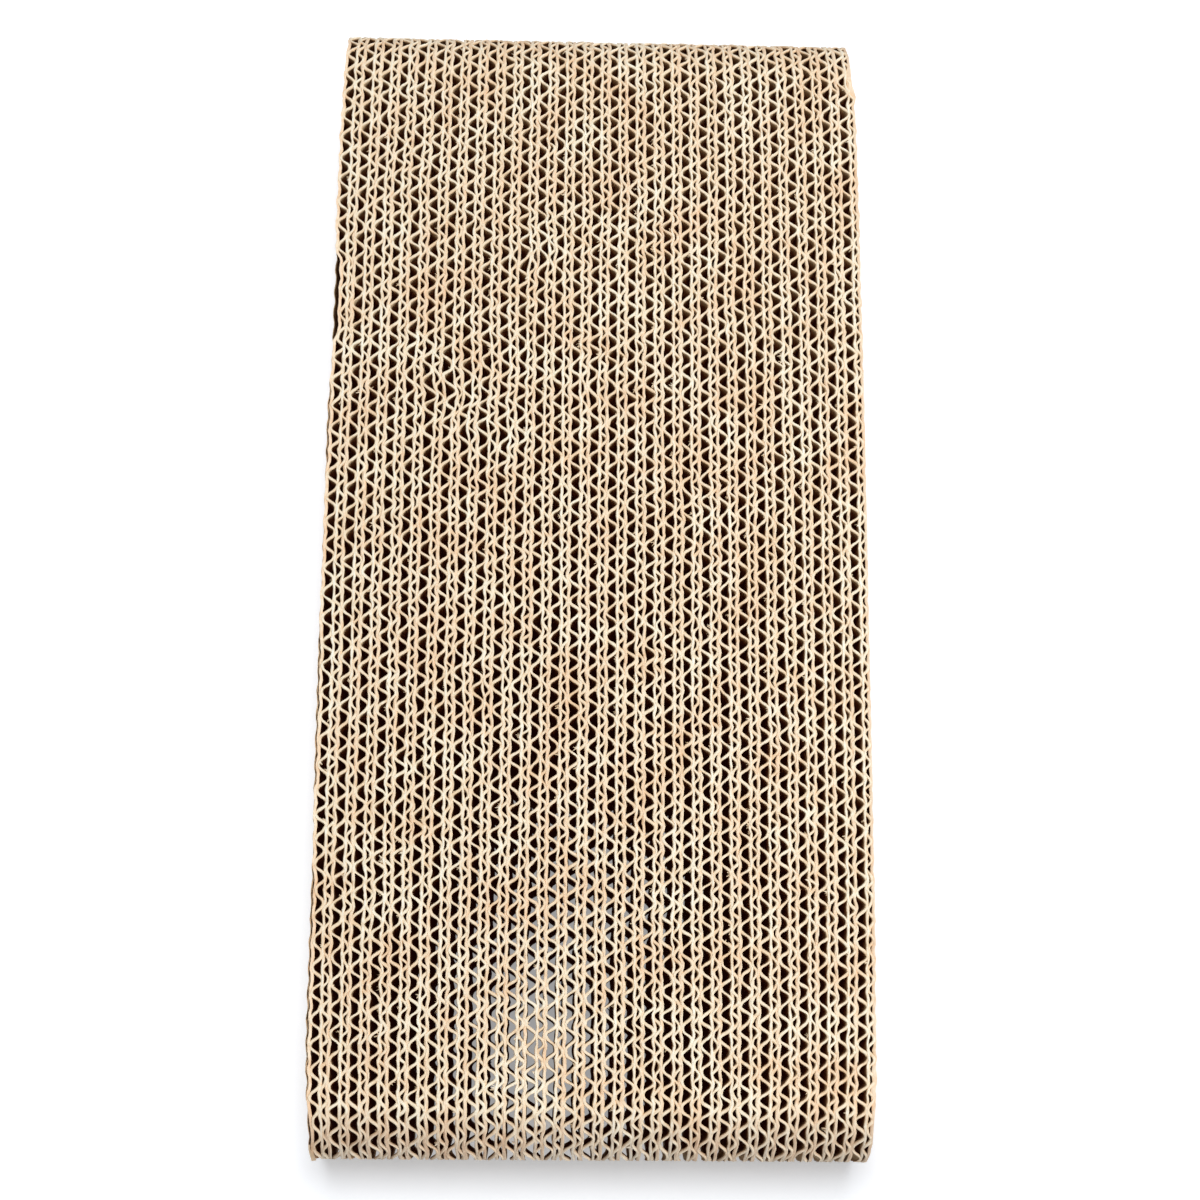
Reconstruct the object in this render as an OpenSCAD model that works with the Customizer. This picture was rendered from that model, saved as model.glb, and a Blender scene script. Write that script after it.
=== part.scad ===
/* [Pad] */
// How many strips of board are glued side by side
strip_count = 29; // [4:1:30]
// Length of the pad, across the cut flutes
pad_l = 384; // [150:1:600]
// Height of the pad, which is the length of every flute
pad_h = 42; // [37:1:80]
// Radius that both ends are rounded to, at the top and at the bottom
end_r = 18; // [3:1:18]

/* [Board] */
// Thickness of the three flat liners
liner_t = 0.3; // [0.2:0.05:0.5]
// Thickness of the two fluted papers
medium_t = 0.25; // [0.15:0.05:0.35]
// Clear height of the large flutes, between two liners
large_flute_h = 3.2; // [2.4:0.1:4.5]
// Clear height of the small flutes, between two liners
small_flute_h = 2; // [1.4:0.1:2.4]
// Distance from one large flute to the next
large_pitch = 8.02; // [6.5:0.02:9.5]
// Distance from one small flute to the next
small_pitch = 6.28; // [5:0.02:7.5]
// Line of starch glue between a flute's tip and its liner
starch_t = 0.02; // [0.01:0.01:0.05]

/* [Glue between the strips] */
// Thickness of each film of glue
glue_t = 0.1; // [0.05:0.05:0.3]
// How far each film stops short of the cut edges
glue_inset = 2; // [1:0.5:2.5]

/* [Hidden] */
$fn = 96;

// A strip has a liner, the large flutes, a liner, the small flutes and a liner, from its left.
middle_liner_x = liner_t + large_flute_h;
right_liner_x = middle_liner_x + liner_t + small_flute_h;
strip_t = right_liner_x + liner_t;
strip_pitch = strip_t + glue_t;
pad_w = strip_count * strip_pitch - glue_t;

// Where each strip's flutes first touch the liner on their left, as shares of their pitch.
// Every strip was cut from its board at another place, so the values follow no rule.
large_start_shares = [
    0.35, 0.75, 0.25, 0.6, 0.7, 0.3, 0.65, 0.15, 0.4, 0.65,
    0.6, 0.3, 0.7, 0.15, 0.25, 0.75, 0.25, 0.5, 0.55, 0.05,
    0.4, 0.65, 0, 0.3, 0.75, 0, 0.35, 0.85, 0.5
];
small_start_shares = [
    0.6, 0.2, 0.8, 0.2, 0.35, 0.1, 0.45, 0, 0.4, 0.7,
    0.55, 0.5, 0.1, 0.7, 0.9, 0.4, 0.1, 0.45, 0.45, 0.05,
    0.5, 0.7, 0.2, 0.6, 0.15, 0.5, 0.95, 0.35, 0.9
];

function numbered(name, i) = str(name, i < 10 ? "_0" : "_", i);
function strip_left(i) = (i - 1) * strip_pitch - pad_w / 2;
function start(shares, i) = shares[(i - 1) % len(shares)];

// The side of a fluted paper from first to last flute: one point at each bend.
function wave(low_x, high_x, pitch, first, last) = [
    for (n = [first:last])
        for (point = [[low_x, n * pitch], [high_x, (n + 1 / 2) * pitch]])
            point
];

function reversed(list) = [for (n = [len(list) - 1:-1:0]) list[n]];

// A fluted paper seen along its flutes: a band that zigzags between two liners.
module fluted_outline(left_x, flute_h, pitch, start_share) {
    slope = atan2(flute_h, pitch / 2);
    across = medium_t / cos(slope);
    low_x = left_x + starch_t;
    high_x = left_x + flute_h - starch_t;
    // One flute more at each end is cut away with the pad's outline.
    last = ceil(pad_l / 2 / pitch) + 1;
    left_side = wave(low_x, high_x - across, pitch, -last, last);
    right_side = wave(low_x + across, high_x, pitch, -last, last);
    translate([0, start_share * pitch])
        polygon(concat(left_side, reversed(right_side)));
}

module liner_outline(left_x) {
    translate([left_x, -pad_l / 2])
        square([liner_t, pad_l]);
}

// The five papers of one strip, seen along the flutes.
module strip_outline(i) {
    liner_outline(0);
    liner_outline(middle_liner_x);
    liner_outline(right_liner_x);
    fluted_outline(liner_t, large_flute_h, large_pitch, start(large_start_shares, i));
    fluted_outline(
        middle_liner_x + liner_t, small_flute_h, small_pitch, start(small_start_shares, i)
    );
}

// The pad's outline seen from the side, drawn in by inset, as a slab of the given thickness.
module side_slab(thickness, inset = 0) {
    half_l = pad_l / 2 - inset;
    half_h = pad_h / 2 - inset;
    r = end_r - inset;
    translate([0, 0, pad_h / 2])
        rotate([90, 0, 90])
            linear_extrude(thickness) {
                square([2 * (half_l - r), 2 * half_h], center = true);
                square([2 * half_l, 2 * (half_h - r)], center = true);
                for (side = [-1, 1])
                    for (level = [-1, 1])
                        translate([side * (half_l - r), level * (half_h - r)])
                            circle(r);
            }
}

// One strip of double-wall board, with its flutes standing upright.
module strip(i) {
    color("burlywood")
        translate([strip_left(i), 0, 0])
            intersection() {
                linear_extrude(pad_h) strip_outline(i);
                side_slab(strip_t);
            }
}

// The film of glue between strip i and the next one.
module glue(i) {
    color("peru")
        translate([strip_left(i) + strip_t, 0, 0])
            side_slab(glue_t, glue_inset);
}

for (i = [1:strip_count])
    strip(i);
for (i = [1:strip_count - 1])
    glue(i);
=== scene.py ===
# %% [markdown]
# # A cardboard scratching pad
# The pad is a block of corrugated board. Twenty-nine strips of double-wall board stand on edge, glued
# face to face, so that a cat's claws meet thousands of open flutes. The CAD model gives every strip its
# place, and this lesson gives each one its papers, its rough cut edges and its wear.

# %% Load the pad's frame
import math
import bpy
import numpy as np
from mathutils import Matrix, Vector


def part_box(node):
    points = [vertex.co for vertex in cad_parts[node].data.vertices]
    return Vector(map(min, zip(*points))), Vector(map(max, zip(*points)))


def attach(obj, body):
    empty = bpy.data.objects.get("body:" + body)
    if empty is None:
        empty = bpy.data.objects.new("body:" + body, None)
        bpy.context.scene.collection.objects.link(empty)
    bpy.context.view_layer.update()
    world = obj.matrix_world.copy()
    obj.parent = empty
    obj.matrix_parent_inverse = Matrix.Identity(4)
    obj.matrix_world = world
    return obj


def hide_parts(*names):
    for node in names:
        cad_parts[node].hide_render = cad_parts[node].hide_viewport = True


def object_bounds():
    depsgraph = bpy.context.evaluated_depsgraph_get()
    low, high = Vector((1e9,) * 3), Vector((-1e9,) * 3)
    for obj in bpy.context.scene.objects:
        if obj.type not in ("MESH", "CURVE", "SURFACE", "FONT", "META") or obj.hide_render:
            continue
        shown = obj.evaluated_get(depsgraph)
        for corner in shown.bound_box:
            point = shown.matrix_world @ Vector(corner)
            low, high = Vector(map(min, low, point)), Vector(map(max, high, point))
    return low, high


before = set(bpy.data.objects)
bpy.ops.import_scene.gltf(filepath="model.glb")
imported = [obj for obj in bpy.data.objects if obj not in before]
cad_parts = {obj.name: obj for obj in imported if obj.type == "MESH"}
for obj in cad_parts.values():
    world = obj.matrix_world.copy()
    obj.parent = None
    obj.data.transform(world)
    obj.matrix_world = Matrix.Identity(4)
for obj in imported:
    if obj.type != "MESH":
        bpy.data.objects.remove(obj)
cad_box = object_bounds()
STRIPS = sorted(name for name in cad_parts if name.startswith("strip_"))
GLUE_FILMS = sorted(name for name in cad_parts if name.startswith("glue_"))
print("strips", len(STRIPS), "glue films", len(GLUE_FILMS))

# %% [markdown]
# ## Sizes
# Blender works in metres here and a maker thinks in millimetres, so one value turns one into the other.
# The pad's outer sizes are read from the frame. What the CAD boxes can't say, such as the thickness of a
# paper or the distance between flutes, is named once in this cell.

# %% Sizes
MM = 0.001
PAD_LOW, PAD_HIGH = (np.array(corner) for corner in cad_box)
HALF_L = (PAD_HIGH[1] - PAD_LOW[1]) / 2
HALF_H = (PAD_HIGH[2] - PAD_LOW[2]) / 2
HALF_W = (PAD_HIGH[0] - PAD_LOW[0]) / 2
MIDDLE_Z = (PAD_HIGH[2] + PAD_LOW[2]) / 2
STRIP_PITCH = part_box("strip_02")[0][0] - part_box("strip_01")[0][0]
STRIP_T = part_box("strip_01")[1][0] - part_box("strip_01")[0][0]
GLUE_T = STRIP_PITCH - STRIP_T
END_R = 18 * MM
LARGE_PITCH = 8.02 * MM
SMALL_PITCH = 6.28 * MM
PAPER_T = 0.4 * MM
LINER_EDGE_T = 0.64 * MM
BARE_WIDENING = 0.4 * MM
MIDDLE_EDGE_T = 1.14 * MM
FLUTED_EDGE_T = 1.14 * MM
MIDDLE_SHARE = 0.61
print("pad in mm", np.round((PAD_HIGH - PAD_LOW) / MM, 1), "strip", round(STRIP_T / MM, 2))

# %% [markdown]
# ## How real paper wanders
# Nothing in a glued block of paper is straight. A wander is a random offset every few millimetres, with
# an eased curve between them. The seed is fixed, so the same pad comes out every time.

# %% Wanders and swells
KNOTS = 800


def wander(seed, places, step, size):
    """Smooth random offsets of up to size along a line of places, with one knot every step."""
    knots = np.random.default_rng(seed).uniform(-1, 1, KNOTS)
    along = np.asarray(places) / step + KNOTS / 2
    before = np.floor(along).astype(int)
    share = along - before
    share = share * share * (3 - 2 * share)
    return size * (knots[before] * (1 - share) + knots[before + 1] * share)


def swell(places, low, high, ease):
    """1 between low and high, easing to 0 over a length of ease outside them."""
    outside = np.maximum(low - places, places - high) / ease
    share = np.clip(1 - outside, 0, 1)
    return share * share * (3 - 2 * share)


def swells(rows, places):
    """The largest of some swells at each place; a row holds start, end, ease and size in millimetres."""
    sizes = [size * MM * swell(places, low * MM, high * MM, ease * MM) for low, high, ease, size in rows]
    return np.max(sizes, axis=0)


# %% [markdown]
# ## The glued joints
# A pad of 29 strips has 28 joints and 2 bare faces. Each joint is a line along the pad that two liners
# share, so both strips read it from the same function and never cross. Flute tips press the liner out a
# little wherever they touch it, which is why the liners look like washboards. The whole block also
# leans a little this way and that, because it was squeezed while its glue dried. A table holds that lean
# at a few places along the pad: sideways at its left and right side, then lengthways at both. Its values,
# and those of the next two tables, were measured on the photograph and rounded.

# %% The lean of the block, in millimetres: place along the pad, sideways twice, lengthways twice
LEANS = np.array((
    (-192, 0.65, -0.5, 1.8, 2.0), (-182, 0.65, -0.2, 1.4, 1.5), (-165, 0.5, 0.35, 1.25, 0.8),
    (-145, 0.6, 0.3, 0.65, 0.5), (-120, 0.5, 0.4, 0.3, 0.2), (-85, 0.8, 0.15, 0.35, -0.05),
    (-45, 1.05, -0.1, 0.1, -0.1), (0, 0.95, -0.1, 0.35, 0.05), (35, 0.85, -0.1, 0.6, 0.2),
    (75, 0.75, 0.05, 0.95, 0.15), (115, 0.5, 0.25, 0.85, 0.15), (145, 0.45, 0.45, 0.6, 0),
    (170, 0.55, 0.3, 0.2, -0.7), (182, 0.75, 0, -0.1, -1.3), (192, 0.85, -0.1, -0.4, -1.8),
)) * MM


def lean(y):
    """The four leans at places along the pad, eased from one row of the table to the next."""
    row = np.clip(np.searchsorted(LEANS[:, 0], y) - 1, 0, len(LEANS) - 2)
    share = np.clip((y - LEANS[row, 0]) / (LEANS[row + 1, 0] - LEANS[row, 0]), 0, 1)
    share = share * share * (3 - 2 * share)
    return [LEANS[row, k] * (1 - share) + LEANS[row + 1, k] * share for k in (1, 2, 3, 4)]


def lean_along(strip, y):
    """The lengthways lean of one strip."""
    left, right = lean(y)[2:]
    across = (strip + 0.5) / len(STRIPS)
    return left * (1 - across) + right * across


# %% Where the flutes of each strip start, as shares of their pitch
LARGE_START_SHARES = (
    0.35, 0.75, 0.25, 0.6, 0.7, 0.3, 0.65, 0.15, 0.4, 0.65,
    0.6, 0.3, 0.7, 0.15, 0.25, 0.75, 0.25, 0.5, 0.55, 0.05,
    0.4, 0.65, 0, 0.3, 0.75, 0, 0.35, 0.85, 0.5,
)
SMALL_START_SHARES = (
    0.6, 0.2, 0.8, 0.2, 0.35, 0.1, 0.45, 0, 0.4, 0.7,
    0.55, 0.5, 0.1, 0.7, 0.9, 0.4, 0.1, 0.45, 0.45, 0.05,
    0.5, 0.7, 0.2, 0.6, 0.15, 0.5, 0.95, 0.35, 0.9,
)


def large_turn(strip, y):
    """The angle of the large flutes at y: 0 where they touch the liner on their left."""
    return 2 * math.pi * ((y - lean_along(strip, y)) / LARGE_PITCH - LARGE_START_SHARES[strip])


def small_turn(strip, y):
    return 2 * math.pi * ((y - lean_along(strip, y)) / SMALL_PITCH - SMALL_START_SHARES[strip])


# %% [markdown]
# The two bare faces have marks of their own. The left one is wavy, because another strip was once torn off
# it, and its table was measured on the photograph too. The right one bulges before its torn far corner.

# %% The left face, in millimetres: place along the pad, and how far it is pushed to the right there
LEFT_FACE = np.array((
    (-192, -0.2), (-180, -0.1), (-172, -0.6), (-160, -1.0), (-142, -0.9), (-122, -0.4), (-95, -0.45),
    (-80, -0.65), (-68, -0.95), (-25, -0.95), (0, -0.45), (30, -0.6), (50, -0.8), (68, -0.1),
    (105, 0), (115, -0.4), (145, -0.5), (165, -0.3), (192, -0.3),
)) * MM


# %% Marks on the bare faces
BULGE_START, BULGE_END, BULGE_EASE = 165 * MM, 168 * MM, 2 * MM
BULGE_SIZE = 0.35 * MM
CORNER_START, CORNER_EASE = 171 * MM, 3 * MM
CORNER_LOSS = 0.7 * MM


def face_marks(joint, y):
    """How far a bare face is pushed to the right by its marks."""
    if joint == 0:
        return np.interp(y, LEFT_FACE[:, 0], LEFT_FACE[:, 1])
    if joint == len(STRIPS):
        bulge = BULGE_SIZE * swell(y, BULGE_START, BULGE_END, BULGE_EASE)
        return bulge - CORNER_LOSS * swell(y, CORNER_START, HALF_L, CORNER_EASE)
    return 0 * y


# %% Joint lines
JOINT_SEED = 100
JOINT_STEP, JOINT_WANDER = 17 * MM, 0.16 * MM
LARGE_PRESS = 0.2 * MM
SMALL_PRESS = 0.12 * MM
END_SQUEEZE = 1.95 * MM


def joint_line(joint, y):
    """x of the joint to the right of strip number joint, with 0 for the pad's left face."""
    x = PAD_LOW[0] - GLUE_T / 2 + joint * STRIP_PITCH
    left_lean, right_lean = lean(y)[:2]
    across = joint / len(STRIPS)
    x = x + left_lean * (1 - across) + right_lean * across
    x = x + wander(JOINT_SEED + joint, y, JOINT_STEP, JOINT_WANDER)
    if joint < len(STRIPS):
        x = x - LARGE_PRESS * np.cos(large_turn(joint, y))
    if joint > 0:
        x = x - SMALL_PRESS * np.cos(small_turn(joint - 1, y))
    x = x * (1 - END_SQUEEZE / HALF_W * (y / HALF_L) ** 2) + face_marks(joint, y)
    return np.clip(x, PAD_LOW[0] - GLUE_T / 2, PAD_HIGH[0] + GLUE_T / 2)


# %% Room for the remains of a torn strip on the left face, in millimetres: start, end, ease and size
REMNANTS = (
    (-192, 109, 3, 0.18), (-188, -180, 3, 0.9), (-168, -106, 8, 0.8), (-74, -30, 6, 0.8), (34, 56, 5, 0.8),
    (77, 102, 4, 1.7),
)


# %% The sides and the middle of a strip
MIDDLE_SEED = 200
MIDDLE_STEP, MIDDLE_WANDER = 23 * MM, 0.12 * MM


def strip_left(strip, y):
    return joint_line(strip, y) + GLUE_T / 2 + (swells(REMNANTS, y) if strip == 0 else 0)


def strip_right(strip, y):
    return joint_line(strip + 1, y) - GLUE_T / 2


def middle_line(strip, y):
    """x of the middle liner's centre."""
    left, right = strip_left(strip, y), strip_right(strip, y)
    press = LARGE_PRESS * np.cos(large_turn(strip, y)) + SMALL_PRESS * np.cos(small_turn(strip, y))
    centre = left + MIDDLE_SHARE * (right - left)
    return centre - press / 2 + wander(MIDDLE_SEED + strip, y, MIDDLE_STEP, MIDDLE_WANDER)


# %% [markdown]
# ## The cut edges
# The pad was sawn out of a block, so its ends are rounded seen from the side. Every paper has its height
# from that profile.

# %% The pad's profile
def half_height(y):
    """How far the cut lies above the pad's middle level, and as far below it."""
    past = np.clip(np.abs(y) - (HALF_L - END_R), 0, END_R)
    return HALF_H - END_R + np.sqrt(END_R**2 - past**2)


# %% [markdown]
# ## Wear
# A knock bends the papers around it. All the papers near a bruise read the same offset, so they bend
# together and never cross. The offset is whole at the top and fades to nothing at the bottom. Six bruises
# lie in or near the crushed areas of the photograph. The other nine are made up.

# %% Bruises on the top: place, size and push, in millimetres
BRUISES = (
    (-49, 55, 7, 1.5, -0.6), (-57, 64, 6, -1.1, 0.8), (-42, 46, 6, -1.0, 1.0),
    (-20, 107, 7, 1.2, 1.2), (-33, 66, 8, 0.9, -0.5), (-62, 130, 9, -0.8, 0.6),
    (-30, 40, 6, 0.9, 0.4), (10, 130, 9, 0.7, -0.7), (46, 92, 9, -0.7, 0.5),
    (30, 10, 10, 0.6, 0.7), (-40, -40, 9, -0.6, 0.6), (60, -60, 10, 0.6, -0.6),
    (-70, -110, 8, 0.8, 0.4), (20, -120, 9, -0.7, -0.5), (0, 60, 8, -0.7, 0.6),
)


def bruise(x, y):
    """Sideways and lengthways offsets at points of the top face."""
    aside, along = np.zeros_like(x), np.zeros_like(x)
    for place_x, place_y, size, push_x, push_y in BRUISES:
        away = ((x / MM - place_x) ** 2 + (y / MM - place_y) ** 2) / size**2
        aside += push_x * MM * np.exp(-away)
        along += push_y * MM * np.exp(-away)
    return aside, along


# %% [markdown]
# ## One paper
# Each paper is a grid primitive, with a column for every place along the pad and a row for every level.
# Moving its points gives the wave, and a Solidify modifier gives the paper its thickness. A saw frays the
# edge of a paper, so a vertex group makes it thicker near the cut than further in, and the edge can lie a
# little aside of the sheet below it. Where the pad's ends begin to round, the blade turned and smeared
# the edges wider. Solidify's rim gets a material of its own, because a cut edge is paler than the face.

# %% The rows of a paper
ROW_DEPTHS = np.array((0.0, 0.28, 2.0)) * MM
SAW_STEP, SAW_BITE = 1.3 * MM, 0.32 * MM


def paper_levels(y, seed, sunk):
    """Heights of the paper's six rows at every column, from the lower cut edge up."""
    reach = half_height(y)
    top = MIDDLE_Z + reach - np.abs(wander(seed, y, SAW_STEP, SAW_BITE)) - sunk
    bottom = MIDDLE_Z - reach + np.abs(wander(seed + 1, y, SAW_STEP, SAW_BITE))
    return np.array([bottom + d for d in ROW_DEPTHS] + [top - d for d in reversed(ROW_DEPTHS)])


# %% A grid whose points can be placed
def grid_piece(name, columns, rows):
    """A grid primitive, with the column and the row of each of its points."""
    bpy.ops.mesh.primitive_grid_add(x_subdivisions=columns - 1, y_subdivisions=rows - 1, size=1)
    piece = bpy.context.object
    piece.name = name
    places = np.empty(3 * columns * rows)
    piece.data.vertices.foreach_get("co", places)
    places = places.reshape(-1, 3)
    column = np.rint((places[:, 0] + 0.5) * (columns - 1)).astype(int)
    row = np.rint((places[:, 1] + 0.5) * (rows - 1)).astype(int)
    return piece, places, column, row


# %% Thickness
FRAY_LEVELS = 16


def thicken(piece, thickness, side, shares=None):
    """Solidify, applied; side is -1 for growth to the left, 0 both ways, 1 to the right."""
    solid = piece.modifiers.new("thickness", "SOLIDIFY")
    solid.thickness = thickness
    solid.offset = side
    solid.use_even_offset = True
    solid.material_offset_rim = len(piece.data.materials) - 1
    if shares is not None:
        group = piece.vertex_groups.new(name="thickness")
        steps = np.rint(shares * FRAY_LEVELS)
        for step in range(FRAY_LEVELS + 1):
            chosen = np.flatnonzero(steps == step)
            if len(chosen):
                group.add(chosen.tolist(), step / FRAY_LEVELS, "REPLACE")
        solid.vertex_group = group.name
    bpy.ops.object.modifier_apply(modifier=solid.name)
    piece.vertex_groups.clear()


# %% Where the blade smeared the edges
SMEAR_LENGTH = 2 * MM
SMEAR_LINE, SMEAR_ENDS = 0.09, 0.06


def smeared(y):
    """How much wider the blade left the edges, most of all where the ends begin to round."""
    start = HALF_L - END_R
    line = swell(np.abs(y), start, start + SMEAR_LENGTH, SMEAR_LENGTH)
    return SMEAR_LINE * line + SMEAR_ENDS * (np.abs(y) > start)


# %% Build one paper; pull towards its edge line and width, for the three rows from a cut inwards
EDGE_PULL = np.array((1.0, 0.9, 0.0))
EDGE_WIDTH = np.array((0.55, 1.0, 0.0))
EDGE_STEP, EDGE_WANDER = 1.5 * MM, 0.2 * MM
EDGE_WANDER_SHARE = 0.3
FRAY_SHARE = 0.82
FRAY_STEP, FRAY_SPREAD = 1.1 * MM, 0.2
THINNEST_SHARE = 0.4


def one_paper(name, lines, y, seeds, edge_t, side, materials, sunk=0.0, matted=0.0):
    """A sheet that follows the first of its two lines, and the second at its frayed cut edges. Where it
    is sunk, its upper edge lies lower, and where it is matted, its edges are wider still."""
    seed, smear_seed = seeds
    body_x, edge_x = lines
    levels = paper_levels(y, seed, sunk)
    sheet, places, column, row = grid_piece(name, len(y), len(levels))
    pull = np.concatenate([EDGE_PULL, EDGE_PULL[::-1]])[row]
    width = np.concatenate([EDGE_WIDTH, EDGE_WIDTH[::-1]])[row]
    edge_x = edge_x + wander(smear_seed, y, EDGE_STEP, min(EDGE_WANDER, EDGE_WANDER_SHARE * edge_t))
    z = levels[row, column]
    aside, along = bruise(body_x[column], y[column])
    on_top = (z > MIDDLE_Z) & (np.abs(y[column]) < HALF_L - END_R)
    places[:, 0] = body_x[column] + (edge_x - body_x)[column] * pull + aside * on_top
    places[:, 1] = y[column] + along * on_top
    places[:, 2] = z
    sheet.data.vertices.foreach_set("co", places.ravel())
    for material in materials:
        sheet.data.materials.append(material)
    full_t = edge_t + np.max(matted)
    fray = edge_t * (FRAY_SHARE + smeared(y) + wander(seed + 3, y, FRAY_STEP, FRAY_SPREAD)) + matted
    shares = np.maximum(fray[column] * width, min(PAPER_T, THINNEST_SHARE * edge_t)) / full_t
    thicken(sheet, full_t, side, np.clip(shares, 0, 1))
    return sheet


# %% [markdown]
# ## The wave
# A fluted paper runs steeply from one liner to the other and lies flat against each for about two
# millimetres. The hyperbolic tangent of a cosine gives that shape: the stronger it is, the flatter the
# tips and the steeper the runs between them.

# %% The wave of a fluted paper
TIP_FLATNESS = 0.95


def wave(turn):
    """0 at the left liner and 1 at the right one."""
    return 0.5 - np.tanh(TIP_FLATNESS * np.cos(turn)) / math.tanh(TIP_FLATNESS) / 2


# %% Places along a fluted paper and along a liner
LARGE_SAMPLES = 16
SMALL_SAMPLES = 12
LINER_STEP = 1.05 * MM
END_SAMPLES = 14


def flute_places(pitch, start_share, samples):
    """Places along the pad with a column at every tip, and one at each end of the pad."""
    step = pitch / samples
    first = math.ceil((-HALF_L - start_share * pitch) / step)
    last = math.floor((HALF_L - start_share * pitch) / step)
    y = start_share * pitch + step * np.arange(first, last + 1)
    y = y[(y > -HALF_L + step / 3) & (y < HALF_L - step / 3)]
    return np.concatenate([[-HALF_L], y, [HALF_L]])


def liner_places():
    """Places along a liner, closer together on the rounded ends."""
    turn = np.linspace(0, math.pi / 2, END_SAMPLES)
    end = HALF_L - END_R + END_R * np.sin(turn)
    middle = np.arange(-HALF_L + END_R, HALF_L - END_R, LINER_STEP)
    return np.concatenate([-end[::-1], middle[1:], end])


# %% [markdown]
# ## Materials
# The paper is brown kraft. A cut edge is pale, because the saw opens its fibres. Its rounded sides get a
# painted shade, darker and browner. Below the cut the wall gets a painted shade that deepens with depth:
# pale just below the cut and a darker warm red-brown deeper in the flutes. The two bare faces of the pad
# are plain tan. At the near end, which turns away from the light, the cuts and their sides get a painted
# shade, and at the far end they are only a little greyer and darker. Paper lets a little red light
# through, which a very faint glow stands for. Two groups of nodes serve all the papers. One tells how deep
# a point lies below the nearest cut, and how far into one of the pad's ends. The other makes fibres and
# blotches.

# %% Helpers for nodes
def put(tree, socket, value):
    """Link a socket to another, or set its value."""
    if isinstance(value, bpy.types.NodeSocket):
        tree.links.new(value, socket)
    elif isinstance(value, tuple):
        socket.default_value = (*value, 1)
    else:
        socket.default_value = value


def maths(tree, operation, a, b=0.0, c=0.0, clamp=False):
    node = tree.nodes.new("ShaderNodeMath")
    node.operation = operation
    node.use_clamp = clamp
    for socket, value in zip(node.inputs, (a, b, c)):
        put(tree, socket, value)
    return node.outputs[0]


def ramp(tree, source, stops):
    """A colour ramp with (place, colour) stops."""
    node = tree.nodes.new("ShaderNodeValToRGB")
    bar = node.color_ramp.elements
    while len(bar) < len(stops):
        bar.new(0.5)
    for element, (place, colour) in zip(bar, stops):
        element.position = place
        element.color = (*colour, 1)
    put(tree, node.inputs["Fac"], source)
    return node.outputs["Color"]


def mix(tree, factor, a, b, blend="MIX"):
    node = tree.nodes.new("ShaderNodeMix")
    node.data_type = "RGBA"
    node.blend_type = blend
    put(tree, node.inputs[0], factor)
    put(tree, node.inputs[6], a)
    put(tree, node.inputs[7], b)
    return node.outputs[2]


# %% The depth group
END_TINT_START = 175 * MM
END_TINT_EASE = 12 * MM


def depth_group():
    """Puts out the distance from the outline that the saw cut, seen from the side, in millimetres, and
    masks of the pad's two ends."""
    group = bpy.data.node_groups.new("depth below the cut", "ShaderNodeTree")
    group.interface.new_socket("Depth", in_out="OUTPUT", socket_type="NodeSocketFloat")
    group.interface.new_socket("Near end", in_out="OUTPUT", socket_type="NodeSocketFloat")
    group.interface.new_socket("Far end", in_out="OUTPUT", socket_type="NodeSocketFloat")
    where = group.nodes.new("ShaderNodeTexCoord")
    parts = group.nodes.new("ShaderNodeSeparateXYZ")
    out = group.nodes.new("NodeGroupOutput")
    group.links.new(where.outputs["Object"], parts.inputs[0])
    y = maths(group, "ABSOLUTE", parts.outputs["Y"])
    z = maths(group, "ABSOLUTE", maths(group, "SUBTRACT", parts.outputs["Z"], MIDDLE_Z))
    over_y = maths(group, "SUBTRACT", y, HALF_L - END_R)
    over_z = maths(group, "SUBTRACT", z, HALF_H - END_R)
    far_y = maths(group, "MAXIMUM", over_y, 0.0)
    far_z = maths(group, "MAXIMUM", over_z, 0.0)
    squares = maths(group, "MULTIPLY_ADD", far_y, far_y, maths(group, "MULTIPLY", far_z, far_z))
    outside = maths(group, "SQRT", squares)
    inner = maths(group, "MINIMUM", maths(group, "MAXIMUM", over_y, over_z), 0.0)
    total = maths(group, "SUBTRACT", maths(group, "SUBTRACT", END_R, outside), inner)
    group.links.new(maths(group, "DIVIDE", total, MM), out.inputs["Depth"])
    for name, sign in (("Near end", -1.0), ("Far end", 1.0)):
        past_start = maths(group, "MULTIPLY_ADD", parts.outputs["Y"], sign, -END_TINT_START)
        group.links.new(maths(group, "DIVIDE", past_start, END_TINT_EASE, clamp=True), out.inputs[name])
    return group


DEPTH = depth_group()


# %% The fibre group
FIBRE_STRETCH = (1, 1, 0.4)
NOISE_DETAIL, NOISE_ROUGHNESS = 3, 0.6


def fibre_group():
    """Puts out fibres, which run along the flutes, and soft blotches."""
    group = bpy.data.node_groups.new("paper fibres", "ShaderNodeTree")
    face = group.interface
    face.new_socket("Fibre size", in_out="INPUT", socket_type="NodeSocketFloat")
    face.new_socket("Blotch size", in_out="INPUT", socket_type="NodeSocketFloat")
    face.new_socket("Fibres", in_out="OUTPUT", socket_type="NodeSocketFloat")
    face.new_socket("Blotches", in_out="OUTPUT", socket_type="NodeSocketFloat")
    inside = group.nodes.new("NodeGroupInput")
    out = group.nodes.new("NodeGroupOutput")
    where = group.nodes.new("ShaderNodeTexCoord")
    stretch = group.nodes.new("ShaderNodeMapping")
    stretch.inputs["Scale"].default_value = FIBRE_STRETCH
    group.links.new(where.outputs["Object"], stretch.inputs["Vector"])
    for size, name, vector in (
        ("Fibre size", "Fibres", stretch.outputs["Vector"]),
        ("Blotch size", "Blotches", where.outputs["Object"]),
    ):
        noise = group.nodes.new("ShaderNodeTexNoise")
        noise.inputs["Detail"].default_value = NOISE_DETAIL
        noise.inputs["Roughness"].default_value = NOISE_ROUGHNESS
        group.links.new(vector, noise.inputs["Vector"])
        group.links.new(inside.outputs[size], noise.inputs["Scale"])
        group.links.new(noise.outputs["Fac"], out.inputs[name])
    return group


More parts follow.
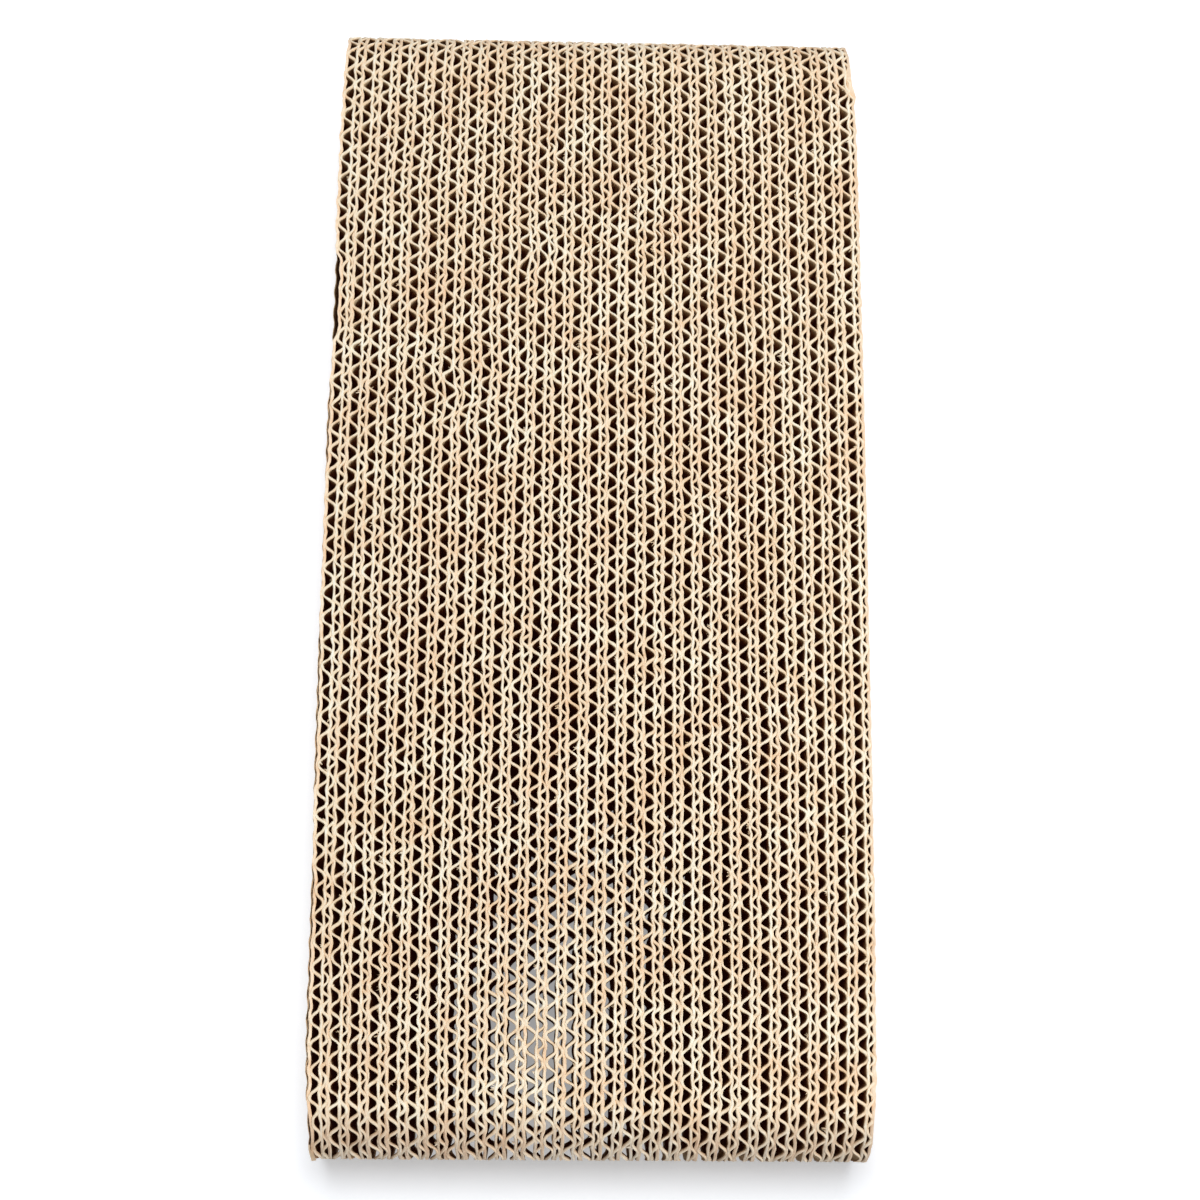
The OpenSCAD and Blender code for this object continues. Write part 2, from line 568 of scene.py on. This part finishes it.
FIBRES = fibre_group()

# %% The paper materials
# Depths in millimetres of the painted shade below a cut: the cut's darker sides end at the first, the pale
# wall has taken over by the second, and the darker red-brown deep in the flutes is reached at the third.
SIDE_SHADE_DEPTH = 0.45
PALE_WALL_DEPTH = 1.2
DEEP_SHADE_DEPTH = 6.0
# Painted shade on the cut's rounded sides: the cut's colour, darker and browner.
SIDE_SHADE_TINT = (0.84, 0.69, 0.55)
# Painted shade of the near end, which turns away from the light, for its cuts and their sides; the far end
# is only a little greyer and darker.
NEAR_END_SHADE_TINTS = ((0.84, 0.78, 0.75), (0.50, 0.43, 0.40))
FAR_TINTS = ((1.0, 0.97, 0.95), (0.96, 0.90, 0.86))
THROUGH_COLOUR = (1.0, 0.18, 0.08)
THROUGH_LEVEL = 0.0026
FIBRE_SIZE = 1500
BLOTCH_SIZE = 50
GRAIN_STOPS = ((0.3, (0.78, 0.76, 0.74)), (0.65, (1, 1, 1)))
SPECKLE_STOPS = ((0.3, (0.9, 0.88, 0.85)), (0.5, (1, 1, 1)))
BLOTCH_PLACES = (0.35, 0.65)
PAPER_ROUGHNESS, PAPER_SPECULAR = 0.92, 0.15
BUMP_STRENGTH = 0.5


def paper_colour(tree, fibres, tones, cut_tones):
    """Kraft in tones for its depth, with painted shade: pale at the cut, darker on the cut's sides, pale
    on the wall below them and a darker red-brown deep down.
    """
    below = tree.nodes.new("ShaderNodeGroup")
    below.node_tree = DEPTH
    pale_wall, deep = tones
    # Painted shade of the deep flutes: the wall turns from its pale tone to a darker red-brown with depth.
    depth_shade = maths(tree, "DIVIDE", below.outputs["Depth"], DEEP_SHADE_DEPTH, clamp=True)
    wall = mix(tree, depth_shade, pale_wall, deep)
    grain = ramp(tree, fibres.outputs["Fibres"], GRAIN_STOPS)
    wall = mix(tree, 1.0, wall, grain, "MULTIPLY")
    cut = ramp(tree, fibres.outputs["Blotches"], tuple(zip(BLOTCH_PLACES, cut_tones)))
    speckle = ramp(tree, fibres.outputs["Fibres"], SPECKLE_STOPS)
    cut = mix(tree, 1.0, cut, speckle, "MULTIPLY")
    # The cut's sides get a painted shade, darker and browner than the cut.
    matted = mix(tree, 1.0, cut, SIDE_SHADE_TINT, "MULTIPLY")
    # Painted shade at the near end, which turns away from the light; the far end is only made a little
    # greyer and darker.
    for end, (cut_tint, side_tint) in (("Near end", NEAR_END_SHADE_TINTS), ("Far end", FAR_TINTS)):
        cut = mix(tree, below.outputs[end], cut, mix(tree, 1.0, cut, cut_tint, "MULTIPLY"))
        matted = mix(tree, below.outputs[end], matted, mix(tree, 1.0, matted, side_tint, "MULTIPLY"))
    # Blend from the cut to its painted-shade sides, then to the wall with its painted shade.
    lowness = maths(tree, "DIVIDE", below.outputs["Depth"], SIDE_SHADE_DEPTH, clamp=True)
    past_shaded_sides = maths(tree, "SUBTRACT", below.outputs["Depth"], SIDE_SHADE_DEPTH)
    openness = maths(tree, "DIVIDE", past_shaded_sides, PALE_WALL_DEPTH - SIDE_SHADE_DEPTH, clamp=True)
    return mix(tree, openness, mix(tree, lowness, cut, matted), wall)


def paper_material(name, tones, cut_tones, bump_height):
    """Dull paper whose fibres show in its colour and in its relief."""
    material = bpy.data.materials.new(name)
    material.use_nodes = True
    tree = material.node_tree
    shader = tree.nodes["Principled BSDF"]
    shader.inputs["Roughness"].default_value = PAPER_ROUGHNESS
    shader.inputs["Specular IOR Level"].default_value = PAPER_SPECULAR
    shader.inputs["Emission Color"].default_value = (*THROUGH_COLOUR, 1)
    shader.inputs["Emission Strength"].default_value = THROUGH_LEVEL
    fibres = tree.nodes.new("ShaderNodeGroup")
    fibres.node_tree = FIBRES
    fibres.inputs["Fibre size"].default_value = FIBRE_SIZE
    fibres.inputs["Blotch size"].default_value = BLOTCH_SIZE
    colour = paper_colour(tree, fibres, tones, cut_tones)
    bump = tree.nodes.new("ShaderNodeBump")
    bump.inputs["Strength"].default_value = BUMP_STRENGTH
    bump.inputs["Distance"].default_value = bump_height
    tree.links.new(fibres.outputs["Fibres"], bump.inputs["Height"])
    tree.links.new(bump.outputs["Normal"], shader.inputs["Normal"])
    tree.links.new(colour, shader.inputs["Base Color"])
    return material


# %% The materials of the papers
# The walls' two tones are painted shade: pale just below the cut, and a darker red-brown deep in the
# flutes.
WALL_TONES = ((0.62, 0.54, 0.36), (0.56, 0.28, 0.13))
FACE_TONES = ((0.60, 0.47, 0.30), (0.58, 0.41, 0.24))
CREAM_TONES = ((0.95, 0.78, 0.57), (1.0, 0.95, 0.78))
WHITE_TONES = ((0.97, 0.87, 0.69), (1.0, 0.99, 0.88))
PINK_TONES = ((0.96, 0.75, 0.55), (1.0, 0.88, 0.70))
LOOSE_TONES = ((0.66, 0.55, 0.39), (0.76, 0.65, 0.48))
FACE_BUMP, EDGE_BUMP = 0.1 * MM, 0.2 * MM
KRAFT = paper_material("kraft paper", WALL_TONES, CREAM_TONES, FACE_BUMP)
BARE_FACE = paper_material("kraft face of the pad", FACE_TONES, PINK_TONES, FACE_BUMP)
FLUTE_EDGE = paper_material("cut edge of fluted paper", WALL_TONES, CREAM_TONES, EDGE_BUMP)
MIDDLE_EDGE = paper_material("cut edge of middle liner", WALL_TONES, WHITE_TONES, EDGE_BUMP)
GLUED_EDGE = paper_material("cut edge of glued liners", WALL_TONES, PINK_TONES, EDGE_BUMP)
LOOSE_PAPER = paper_material("loose corner of torn paper", LOOSE_TONES, LOOSE_TONES, FACE_BUMP)

# %% [markdown]
# ## The lines of a strip
# A strip is five papers: liner, large flutes, liner, small flutes, liner. Each follows two lines, one for
# the sheet and one for its frayed edge. At the edge the flute tips run right into the liners, and the two
# liners of a glued joint close up, because the saw mats their fibres together. Every paper wanders in its
# own way. Only the cut edges of the two liners of a joint share a seed, so they stay together.

# %% Seeds of the papers of a strip
LEFT_SEED, RIGHT_SEED, MIDDLE_LINER_SEED = 10, 20, 30
LARGE_WAVE_SEED, LARGE_SEED, SMALL_WAVE_SEED, SMALL_SEED = 40, 50, 60, 70
JOINT_EDGE_SEED = 400


def first_seed(strip):
    return 1000 * (strip + 1)


# %% Uneven waves
FLUTE_STEP, FLUTE_WANDER = 9 * MM, 0.5 * MM
KINK_STEP, KINK_WANDER = 3.5 * MM, 0.25 * MM
SLACK_STEP, FLUTE_SLACK = 5 * MM, 0.12


def uneven_wave(turn_of, strip, y, seed):
    """The wave of one paper, with uneven and sometimes slack flutes."""
    shifted = y + wander(seed, y, FLUTE_STEP, FLUTE_WANDER) + wander(seed + 1, y, KINK_STEP, KINK_WANDER)
    slack = np.abs(wander(seed + 2, y, SLACK_STEP, FLUTE_SLACK))
    return 0.5 + (wave(turn_of(strip, shifted)) - 0.5) * (1 - slack)


def between(low, high, share):
    return low + (high - low) * share


# %% Lines of the fluted papers
SHEET_SEAT = 1.5 * PAPER_T
EDGE_SEAT = 0.3 * MM
BARE_EDGE_SEAT = 0.65 * MM
MIDDLE_EDGE_SEAT = 0.2 * MM


def large_lines(strip, y):
    """The lines of the large flutes, for the sheet and for its edge."""
    left, middle = strip_left(strip, y), middle_line(strip, y)
    share = uneven_wave(large_turn, strip, y, first_seed(strip) + LARGE_WAVE_SEED)
    seat = EDGE_SEAT if strip > 0 else BARE_EDGE_SEAT
    sheet = between(left + SHEET_SEAT, middle - PAPER_T, share)
    return sheet, between(left + seat, middle - MIDDLE_EDGE_SEAT, share)


def small_lines(strip, y):
    """The lines of the small flutes, for the sheet and for its edge."""
    middle, right = middle_line(strip, y), strip_right(strip, y)
    share = uneven_wave(small_turn, strip, y, first_seed(strip) + SMALL_WAVE_SEED)
    seat = EDGE_SEAT if strip < len(STRIPS) - 1 else BARE_EDGE_SEAT
    sheet = between(middle + PAPER_T, right - SHEET_SEAT, share)
    return sheet, between(middle + MIDDLE_EDGE_SEAT, right - seat, share)


# %% [markdown]
# ## Torn fibres
# The saw leaves small tongues of torn paper, most of them on the middle liners. A tongue is one face of a
# grid whose edges are split, placed at its root and turned down into the flute, and then thickened.

# %% Sizes of the tongues; each pair is the least and the most, in millimetres or radians
TUFTS = 24
TONGUES = 4 * TUFTS
TUFT_MARGIN = 4 * MM
TUFT_SPREAD = 0.5
LINER_TUFTS_SHARE = 0.75
TOP_TUFTS_SHARE = 0.7
ROOT_ASIDE = 0.3 * MM
TONGUE_T = 0.12 * MM
TONGUE_LENGTHS = (0.4, 1.5)
TONGUE_HALF_WIDTHS = (0.08, 0.3)
TONGUE_DEPTHS = (0.15, 0.5)
TONGUE_TURNS = (-1, 1)
TONGUE_DROOPS = (0.1, 1.1)
TIP_SHARE = 0.4
TONGUE_SEED = 6000
TORN = paper_material("torn fibres", (WALL_TONES[0], WALL_TONES[0]), WHITE_TONES, FACE_BUMP)


# %% Corners of the tongues
def tongue_corners(strip, dice):
    """Four corners for each tongue, in order around it."""
    tuft = np.repeat(np.arange(TUFTS), TONGUES // TUFTS)
    y = dice.uniform(-HALF_L + TUFT_MARGIN, HALF_L - TUFT_MARGIN, TUFTS)[tuft]
    y = y + dice.uniform(-TUFT_SPREAD, TUFT_SPREAD, TONGUES) * MM
    on_liner = dice.uniform(size=TUFTS)[tuft] < LINER_TUFTS_SHARE
    x = np.where(on_liner, middle_line(strip, y) - ROOT_ASIDE, large_lines(strip, y)[1])
    away = np.where(on_liner, math.pi, dice.choice([0, math.pi], TUFTS)[tuft])
    heading = away + dice.uniform(*TONGUE_TURNS, TONGUES)
    droop = dice.uniform(*TONGUE_DROOPS, TONGUES)
    length = dice.uniform(*TONGUE_LENGTHS, TONGUES) * MM
    half = dice.uniform(*TONGUE_HALF_WIDTHS, TONGUES) * MM
    up = np.where(dice.uniform(size=TUFTS)[tuft] < TOP_TUFTS_SHARE, 1, -1)
    z = MIDDLE_Z + up * (half_height(y) - dice.uniform(*TONGUE_DEPTHS, TONGUES) * MM)
    root = np.column_stack([x, y, z])
    aside = np.column_stack([-np.sin(heading), np.cos(heading), 0 * y]) * half[:, None]
    flat = np.cos(droop)
    ahead = np.column_stack([np.cos(heading) * flat, np.sin(heading) * flat, -up * np.sin(droop)])
    tip = root + ahead * length[:, None]
    tip_aside = TIP_SHARE * aside
    return np.stack([root - aside, root + aside, tip + tip_aside, tip - tip_aside], axis=1)


# %% Build the tongues of a strip
def torn_tongues(strip):
    bpy.ops.mesh.primitive_grid_add(x_subdivisions=TONGUES, y_subdivisions=1, size=1)
    tongues = bpy.context.object
    bpy.ops.object.mode_set(mode="EDIT")
    bpy.ops.mesh.select_all(action="SELECT")
    bpy.ops.mesh.edge_split(type="EDGE")
    bpy.ops.object.mode_set(mode="OBJECT")
    corners = tongue_corners(strip, np.random.default_rng(TONGUE_SEED + strip))
    corner_of = np.empty(4 * TONGUES, dtype=int)
    tongues.data.loops.foreach_get("vertex_index", corner_of)
    places = np.empty((4 * TONGUES, 3))
    places[corner_of] = corners.reshape(-1, 3)
    tongues.data.vertices.foreach_set("co", places.ravel())
    tongues.data.materials.append(TORN)
    thicken(tongues, TONGUE_T, 0)
    return tongues


# %% [markdown]
# ## Remains of a torn strip
# A strip was once torn off the left face. Its liner stayed, with squashed small flutes behind it, and one
# corner of the liner stands loose above the rounded near end. They are made like the other papers, only
# thinner, and belong to the first strip's piece. The loose corner is a small grid that narrows and bends
# towards its tip.

# %% The loose corner of the torn liner
TORN_T = 0.34 * MM
TAB_START, TAB_END = -187 * MM, -191.9 * MM
TAB_COLUMNS, TAB_ROWS = 10, 5
TAB_SEAT = 0.5 * MM
TAB_FOOT, TAB_RISE = 9 * MM, 2.5 * MM
TAB_HEIGHT, TAB_TAPER = 7 * MM, 3.5 * MM
TAB_CURL, TAB_FOOT_CURL = 0.6 * MM, 0.8 * MM


def curled_tab():
    """The corner of the torn liner that curls over the pad's near end."""
    tab, places, column, row = grid_piece("curled tab", TAB_COLUMNS, TAB_ROWS)
    share, level = column / (TAB_COLUMNS - 1), row / (TAB_ROWS - 1)
    y = TAB_START + (TAB_END - TAB_START) * share
    foot, height = TAB_FOOT + TAB_RISE * share, TAB_HEIGHT - TAB_TAPER * share
    curl = share**2 * (TAB_CURL + TAB_FOOT_CURL * (1 - level))
    places[:, 0] = joint_line(0, y) + GLUE_T / 2 + TAB_SEAT + curl
    places[:, 1] = y
    places[:, 2] = MIDDLE_Z + foot + height * level
    tab.data.vertices.foreach_set("co", places.ravel())
    tab.data.materials.append(LOOSE_PAPER)
    thicken(tab, TORN_T, 1)
    return tab


# %% The torn liner and the squashed flutes
TORN_STEP = 0.9 * MM
TORN_LOW, TORN_HIGH = -191 * MM, 109 * MM
TORN_DEPTH, TORN_SPREAD, TORN_DEPTH_STEP = 0.5 * MM, 0.5 * MM, 4 * MM
TORN_DEPTH_SEED, TORN_SEEDS = 901, (910, 911)
TORN_DIPS = ((77, 102, 4, 0.9),)
SQUASHED_LOW, SQUASHED_HIGH = -174 * MM, 64 * MM
SQUASHED_DEPTH, SQUASHED_SPREAD, SQUASHED_DEPTH_STEP = 0.3 * MM, 0.4 * MM, 3 * MM
SQUASHED_DEPTH_SEED, SQUASHED_SEEDS = 902, (920, 921)
SQUASHED_SEAT = 0.25 * MM
SQUASHED_ROOM = 0.3 * MM


def torn_remains():
    """A torn liner and squashed small flutes of the strip that was glued to the left face before."""
    y = np.arange(TORN_LOW, TORN_HIGH, TORN_STEP)
    face = joint_line(0, y) + GLUE_T / 2
    ragged = np.abs(wander(TORN_DEPTH_SEED, y, TORN_DEPTH_STEP, TORN_SPREAD))
    sunk = TORN_DEPTH + ragged + swells(TORN_DIPS, y)
    kraft = BARE_FACE, GLUED_EDGE
    liner = one_paper("torn liner", (face, face), y, TORN_SEEDS, TORN_T, 1, kraft, sunk)
    y = np.arange(SQUASHED_LOW, SQUASHED_HIGH, TORN_STEP)
    face, inner = joint_line(0, y) + GLUE_T / 2, strip_left(0, y)
    turn = 2 * math.pi * y / SMALL_PITCH
    line = face + SQUASHED_SEAT + wave(turn) * np.maximum(inner - face - SQUASHED_ROOM, 0)
    ragged = np.abs(wander(SQUASHED_DEPTH_SEED, y, SQUASHED_DEPTH_STEP, SQUASHED_SPREAD))
    kraft = KRAFT, GLUED_EDGE
    sunk = SQUASHED_DEPTH + ragged
    flutes = one_paper("squashed flutes", (line, line), y, SQUASHED_SEEDS, TORN_T, 0, kraft, sunk)
    return [liner, flutes, curled_tab()]


# %% [markdown]
# ## One strip
# The five papers and their torn fibres are joined into one piece that stands for the CAD strip. The
# block sagged a little while its glue dried, so the flutes in the middle of the pad slant by a degree or
# two. Any point that then stands outside the pad is pressed back to its face.

# %% Join the papers of a strip
def join_pieces(pieces, name):
    bpy.ops.object.select_all(action="DESELECT")
    for piece in pieces:
        piece.select_set(True)
    bpy.context.view_layer.objects.active = pieces[0]
    bpy.ops.object.join()
    joined = bpy.context.object
    joined.name = name
    return joined


# %% Slant the flutes and press the piece back
SLANT_ASIDE = 0.9 * MM
SLANT_ALONG = 1.2 * MM
SLANT_LOW, SLANT_HIGH, SLANT_EASE = -104 * MM, 60 * MM, 26 * MM


def settle(piece):
    """Slant the flutes in the middle of the pad, and press the piece back inside the pad's box."""
    places = np.empty(3 * len(piece.data.vertices))
    piece.data.vertices.foreach_get("co", places)
    places = places.reshape(-1, 3)
    across = np.clip((places[:, 0] - PAD_LOW[0]) / (2 * HALF_W), 0, 1)
    sunk = (PAD_HIGH[2] - places[:, 2]) / (2 * HALF_H)
    slant = sunk * np.sin(math.pi * across) * swell(places[:, 1], SLANT_LOW, SLANT_HIGH, SLANT_EASE)
    places[:, 0] += SLANT_ASIDE * slant
    places[:, 1] += SLANT_ALONG * slant
    places = np.clip(places, PAD_LOW, PAD_HIGH)
    piece.data.vertices.foreach_set("co", places.ravel())
    piece.data.update()


# %% Stretches of the right face that the saw clogged, in millimetres: start, end, ease and size
CLOGGED = ((167, 174, 3, 0.9), (-172, -164, 3, 0.6))


# %% The three liners of a strip
def liners(strip, y):
    first, last = strip == 0, strip == len(STRIPS) - 1
    seed, joint_seed = first_seed(strip), JOINT_EDGE_SEED + strip
    lines = strip_left(strip, y), joint_line(strip, y) + (swells(REMNANTS, y) if first else 0)
    seeds = seed + LEFT_SEED, joint_seed
    kraft = BARE_FACE if first else KRAFT, GLUED_EDGE
    wide = BARE_WIDENING * first + 0 * y
    left = one_paper("left liner", lines, y, seeds, LINER_EDGE_T, 1, kraft, matted=wide)
    lines = strip_right(strip, y), joint_line(strip + 1, y)
    seeds = seed + RIGHT_SEED, joint_seed + 1
    kraft = BARE_FACE if last else KRAFT, GLUED_EDGE
    wide = (BARE_WIDENING + swells(CLOGGED, y)) * last
    right = one_paper("right liner", lines, y, seeds, LINER_EDGE_T, -1, kraft, matted=wide)
    centre = middle_line(strip, y)
    seeds = seed + MIDDLE_LINER_SEED, seed + MIDDLE_LINER_SEED + 2
    kraft = KRAFT, MIDDLE_EDGE
    middle = one_paper("middle liner", (centre, centre), y, seeds, MIDDLE_EDGE_T, 0, kraft)
    return [left, right, middle]


# %% The two fluted papers of a strip
def fluted_papers(strip):
    papers = []
    for name, pitch, start_shares, samples, lines_of, paper_seed in (
        ("large flutes", LARGE_PITCH, LARGE_START_SHARES, LARGE_SAMPLES, large_lines, LARGE_SEED),
        ("small flutes", SMALL_PITCH, SMALL_START_SHARES, SMALL_SAMPLES, small_lines, SMALL_SEED),
    ):
        y = flute_places(pitch, start_shares[strip], samples)
        seed = first_seed(strip) + paper_seed
        kraft = KRAFT, FLUTE_EDGE
        papers.append(one_paper(name, lines_of(strip, y), y, (seed, seed + 2), FLUTED_EDGE_T, 0, kraft))
    return papers


# %% Build a strip
SMOOTH_ANGLE = math.radians(40)


def board_strip(strip):
    papers = liners(strip, liner_places())
    if strip == 0:
        papers.extend(torn_remains())
    papers.extend(fluted_papers(strip))
    papers.append(torn_tongues(strip))
    piece = join_pieces(papers, f"board_{STRIPS[strip]}")
    settle(piece)
    bpy.ops.object.shade_smooth_by_angle(angle=SMOOTH_ANGLE)
    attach(piece, "root")
    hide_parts(STRIPS[strip])
    return piece


bpy.ops.object.select_all(action="DESELECT")
pieces = [board_strip(strip) for strip in range(len(STRIPS))]
print("strips made:", len(pieces), "faces in the first:", len(pieces[0].data.polygons))

# %% [markdown]
# ## Glue
# A film of glue fills each joint. It follows the joint line and stops short of the cut edges.

# %% The glue
GLUE_COLOUR = (0.42, 0.24, 0.11)
GLUE_ROUGHNESS = 0.45


def glue_material():
    material = bpy.data.materials.new("dried glue")
    material.use_nodes = True
    shader = material.node_tree.nodes["Principled BSDF"]
    shader.inputs["Base Color"].default_value = (*GLUE_COLOUR, 1)
    shader.inputs["Roughness"].default_value = GLUE_ROUGHNESS
    return material


DRIED_GLUE = glue_material()

# %% Glue films
GLUE_INSET = 1.2 * MM
GLUE_COLUMNS = 160
GLUE_LEAST_REACH = 1 * MM
GLUE_SEED = 5000
RAGGED_STEP, RAGGED_SIZE = 6 * MM, 1.5 * MM
GLUE_T_SHARE = 0.9


def glue_film(joint):
    y = np.linspace(-HALF_L + GLUE_INSET, HALF_L - GLUE_INSET, GLUE_COLUMNS)
    reach = np.maximum(half_height(y) - GLUE_INSET, GLUE_LEAST_REACH)
    ragged = np.abs(wander(GLUE_SEED + joint, y, RAGGED_STEP, RAGGED_SIZE))
    levels = np.array([MIDDLE_Z - reach, MIDDLE_Z + np.maximum(reach - ragged, 0)])
    film, places, column, row = grid_piece(f"film_{GLUE_FILMS[joint - 1]}", len(y), 2)
    places[:, 0] = joint_line(joint, y)[column]
    places[:, 1] = y[column]
    places[:, 2] = levels[row, column]
    film.data.vertices.foreach_set("co", places.ravel())
    film.data.materials.append(DRIED_GLUE)
    thicken(film, GLUE_T * GLUE_T_SHARE, 0)
    settle(film)
    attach(film, "root")
    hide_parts(GLUE_FILMS[joint - 1])
    return film


films = [glue_film(joint) for joint in range(1, len(STRIPS))]
print("glue films made:", len(films))

# %% [markdown]
# ## Floor, light and camera
# The photograph looks almost straight down, and a grey floor shows through the flutes that stand in line
# with the lens. The floor glows a little, but only where it is seen and never as a lamp. So it isn't black
# at the bottom of a flute, and it still keeps the pad's shadow. Far from the pad the glow grows until the
# floor is white.

# %% Rays that see the stage directly
def seen_directly(tree):
    """1 for rays from the camera, and for what mirrors and glass would show."""
    rays = tree.nodes.new("ShaderNodeLightPath")
    seen = maths(tree, "MAXIMUM", rays.outputs["Is Camera Ray"], rays.outputs["Is Glossy Ray"])
    return maths(tree, "MAXIMUM", seen, rays.outputs["Is Transmission Ray"])


# %% Floor
FLOOR_SIZE = 12
FLOOR_GREY = 0.33
FLOOR_COLOUR = (0.84, 0.87, 0.92)
FADE_START, FADE_LENGTH = 0.4, 1.0


def studio_floor():
    bpy.ops.mesh.primitive_plane_add(size=FLOOR_SIZE, location=(0, 0, 0))
    plane = bpy.context.object
    plane.name = "studio_floor"
    material = bpy.data.materials.new("studio floor")
    material.use_nodes = True
    tree = material.node_tree
    shader = tree.nodes["Principled BSDF"]
    shader.inputs["Base Color"].default_value = (*FLOOR_COLOUR, 1)
    shader.inputs["Roughness"].default_value = 1
    shader.inputs["Specular IOR Level"].default_value = 0
    where = tree.nodes.new("ShaderNodeTexCoord")
    reach = tree.nodes.new("ShaderNodeVectorMath")
    reach.operation = "LENGTH"
    tree.links.new(where.outputs["Object"], reach.inputs[0])
    past_start = maths(tree, "SUBTRACT", reach.outputs["Value"], FADE_START)
    whiteness = maths(tree, "DIVIDE", past_start, FADE_LENGTH, clamp=True)
    level = maths(tree, "MULTIPLY_ADD", whiteness, 1 - FLOOR_GREY, FLOOR_GREY)
    glow = maths(tree, "MULTIPLY", seen_directly(tree), level)
    shader.inputs["Emission Color"].default_value = (1, 1, 1, 1)
    tree.links.new(glow, shader.inputs["Emission Strength"])
    plane.data.materials.append(material)
    return plane


floor = studio_floor()

# %% [markdown]
# Two softboxes and a pale room light the pad. The large one hangs high behind its far end, so that the
# near end turns away from it. The small one stands low at the right and looks into the flutes. A third
# softbox, high above, lights the floor alone and throws the short shadow in front of the pad.

# %% Light
def soft_box(name, place, size, level):
    """A round lamp aimed at the pad that gives it this level of light, where 1 shows a colour as it is."""
    lamp = bpy.data.objects.new(name, bpy.data.lights.new(name, "AREA"))
    bpy.context.scene.collection.objects.link(lamp)
    away = math.dist(place, (0, 0, 0))
    lamp.data.shape = "DISK"
    lamp.data.size = size
    lamp.data.energy = level * math.pi**2 * away**3 / place[2]
    lamp.location = place
    lamp.rotation_euler = (math.acos(place[2] / away), 0, math.atan2(place[1], place[0]) + math.pi / 2)
    return lamp


# %% The three lamps, each lighting either the pad or the floor
high_box = soft_box("high softbox", (0, 0.45, 1.5), 0.7, 0.38)
low_box = soft_box("low softbox", (1.0, -0.4, 1.1), 0.5, 0.4)
floor_box = soft_box("floor softbox", (0, 0.35, 1.5), 0.9, 0.8)
for lamp, state in ((high_box, "EXCLUDE"), (low_box, "EXCLUDE"), (floor_box, "INCLUDE")):
    lit = bpy.data.collections.new(f"{lamp.name} {state.lower()}")
    lit.objects.link(floor)
    lamp.light_linking.receiver_collection = lit
    lit.collection_objects[0].light_linking.link_state = state

# %% The room
ROOM_LEVEL = 0.27
world = bpy.data.worlds.new("studio")
bpy.context.scene.world = world
world.use_nodes = True
room = world.node_tree
background = room.nodes["Background"]
background.inputs["Color"].default_value = (1, 1, 1, 1)
strength = maths(room, "MULTIPLY_ADD", seen_directly(room), 1 - ROOM_LEVEL, ROOM_LEVEL)
room.links.new(strength, background.inputs["Strength"])

# %% [markdown]
# The camera was fitted to the photograph from the pad's edges, from its flutes and from the place where
# the floor shows through.

# %% Camera, in millimetres, degrees and pixels of the photograph
PHOTO_SIDE = 1200
FOCAL_PIXELS = 2022
SENSOR = 36.0
CAMERA_PLACE = (-16.5, -156.8, 687.5)
CAMERA_TURN = (12.452, -1.691, 0.408)
camera = bpy.data.objects.new("camera", bpy.data.cameras.new("camera"))
bpy.context.scene.collection.objects.link(camera)
camera.data.sensor_width = SENSOR
camera.data.lens = FOCAL_PIXELS / PHOTO_SIDE * SENSOR
camera.location = [place * MM for place in CAMERA_PLACE]
camera.rotation_euler = [math.radians(turn) for turn in CAMERA_TURN]
bpy.context.scene.camera = camera

# %% Finish
bpy.context.scene.view_settings.view_transform = "Standard"
